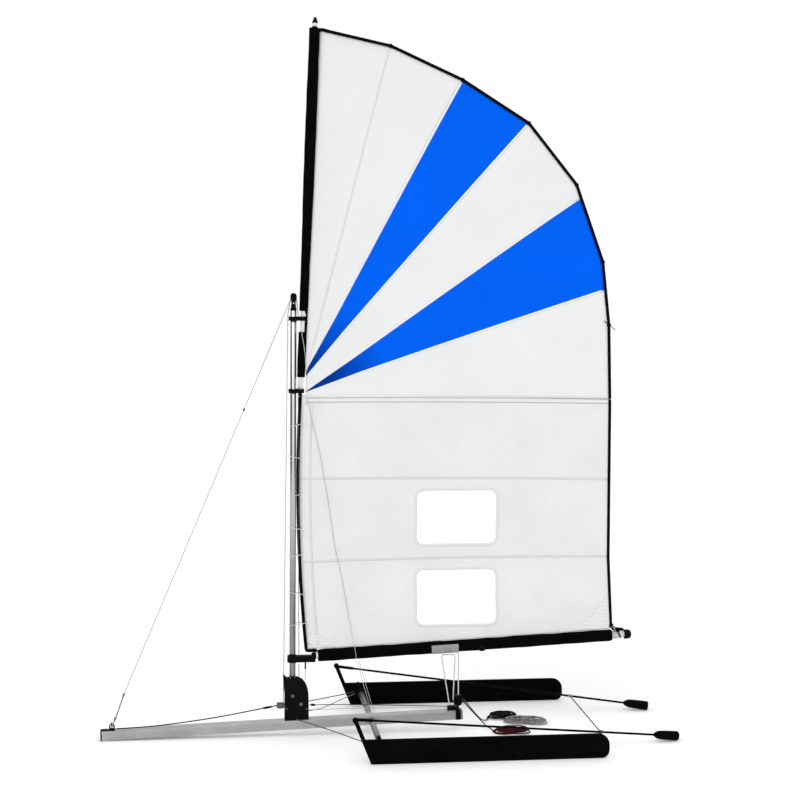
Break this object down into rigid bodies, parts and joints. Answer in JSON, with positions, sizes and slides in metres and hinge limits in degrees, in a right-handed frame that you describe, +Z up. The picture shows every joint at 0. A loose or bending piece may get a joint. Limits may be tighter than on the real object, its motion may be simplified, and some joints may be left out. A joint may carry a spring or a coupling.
{
  "type": "canoe sail rig",
  "caption": "Clamp-on gunter sail rig for a canoe: white and blue sail, boom, mast on a deck bar, and a crossbar with two leeboards worked by push rods.",
  "frame": {"origin": "centre of the overall box at the floor, below the crossbar", "axes": "+X aft along the boom, +Y to the far side across the crossbar, +Z up along the mast"},
  "size_m": [1.7653, 0.662, 2.1882],
  "materials": {
    "aluminium": "anodised",
    "white_tube": "satin white",
    "steel": "satin",
    "black_plastic": "moulded",
    "black_board": "painted black",
    "black_rod": "black coated",
    "black_cloth": "woven",
    "white_sailcloth": "woven sailcloth",
    "blue_sailcloth": "woven sailcloth",
    "clear_film": "clear",
    "white_rope": "braided",
    "grey_rope": "braided",
    "black_rope": "braided",
    "dark_red_rope": "braided",
    "grey_webbing": "webbing",
    "grey_sheave": "moulded"
  },
  "bodies": {
    "rig_base": {"bar_aft_cap": "grey_sheave", "bar_front_cap": "black_plastic", "brace_far": "grey_rope", "brace_near": "grey_rope", "brail_line_lower": "white_rope", "control_line": "black_rope", "crossbar": "aluminium", "crossbar_hub_far": "black_plastic", "crossbar_hub_near": "black_plastic", "deck_bar": "aluminium", "foot_cheek_far": "black_plastic", "foot_cheek_near": "black_plastic", "foot_fairlead": "grey_sheave", "forestay": "grey_rope", "halyard": "white_rope", "hank_black": "black_rope", "hank_grey": "grey_rope", "hank_red": "dark_red_rope", "mainsheet": "white_rope", "mast_heel": "black_plastic", "mast_lock_bolt": "steel", "mast_pivot_bolt": "steel", "mast_tube": "aluminium", "masthead_fitting": "black_plastic", "sheet_block": "black_plastic", "sheet_strap": "black_plastic", "sheet_tail_far": "grey_rope", "sheet_tail_near": "grey_rope"},
    "boom": {"gooseneck": "black_plastic", "boom_tube": "white_tube", "boom_sleeve": "black_cloth", "boom_end_cap": "black_plastic", "sheet_webbing": "grey_webbing", "lower_sail": "white_sailcloth", "window_upper": "clear_film", "window_lower": "clear_film", "luff_rope": "black_rope", "leech_cord_lower": "black_rope", "brail_line_upper": "white_rope", "downhaul": "grey_rope"},
    "gaff": {"fan_blue_lower": "blue_sailcloth", "fan_blue_upper": "blue_sailcloth", "fan_white_leech": "white_sailcloth", "fan_white_luff": "white_sailcloth", "fan_white_middle": "white_sailcloth", "gaff_collar_lower": "black_plastic", "gaff_collar_upper": "black_plastic", "gaff_head_cap": "black_plastic", "gaff_sleeve": "black_cloth", "gaff_tube": "white_tube", "leech_cord_upper": "black_rope"},
    "leeboard_near": {"leeboard_near": "black_board"},
    "leeboard_far": {"leeboard_far": "black_board"},
    "rod_near": {"push_rod_near": "black_rod", "grip_near": "black_plastic", "rod_tie": "grey_rope"},
    "rod_far": {"push_rod_far": "black_rod", "grip_far": "black_plastic"},
    "head_sheave": {"masthead_sheave": "grey_sheave"},
    "block_sheave": {"sheet_sheave": "grey_sheave"}
  },
  "joints": [
    {"name": "sail_swing", "type": "hinge", "parent": "rig_base", "child": "boom", "pos_m": [-0.29719, 0, 0.2388], "axis": [0, 0, 1], "range_deg": [-85, 85]},
    {"name": "gaff_hoist", "type": "slide", "parent": "boom", "child": "gaff", "axis": [0, 0, 1], "range_m": [-0.6, 0], "deforming": ["lower_sail", "window_upper", "window_lower", "luff_rope", "leech_cord_lower", "brail_line_upper", "downhaul"]},
    {"name": "near_board_pivot", "type": "hinge", "parent": "rig_base", "child": "leeboard_near", "pos_m": [-0.05269, -0.326, 0.04296], "axis": [0, 1, 0], "range_deg": [0, 90]},
    {"name": "far_board_pivot", "type": "hinge", "parent": "rig_base", "child": "leeboard_far", "pos_m": [-0.05269, 0.326, 0.04296], "axis": [0, 1, 0], "range_deg": [0, 90]},
    {"name": "near_rod_pivot", "type": "hinge", "parent": "leeboard_near", "child": "rod_near", "pos_m": [-0.1332, -0.326, 0.13196], "axis": [0, 1, 0], "range_deg": [-90, 0]},
    {"name": "far_rod_pivot", "type": "hinge", "parent": "leeboard_far", "child": "rod_far", "pos_m": [-0.1332, 0.326, 0.13196], "axis": [0, 1, 0], "range_deg": [-90, 0]},
    {"name": "masthead_sheave_spin", "type": "hinge", "parent": "rig_base", "child": "head_sheave", "pos_m": [-0.29719, 0, 1.3558], "axis": [0, 1, 0], "continuous": true},
    {"name": "sheet_sheave_spin", "type": "hinge", "parent": "rig_base", "child": "block_sheave", "pos_m": [0.21393, 0, 0.10122], "axis": [0, 1, 0], "continuous": true}
  ],
  "couplings": [
    {"joint": "far_board_pivot", "follows": "near_board_pivot", "ratio": 1},
    {"joint": "near_rod_pivot", "follows": "near_board_pivot", "ratio": -1},
    {"joint": "far_rod_pivot", "follows": "near_board_pivot", "ratio": -1}
  ]
}
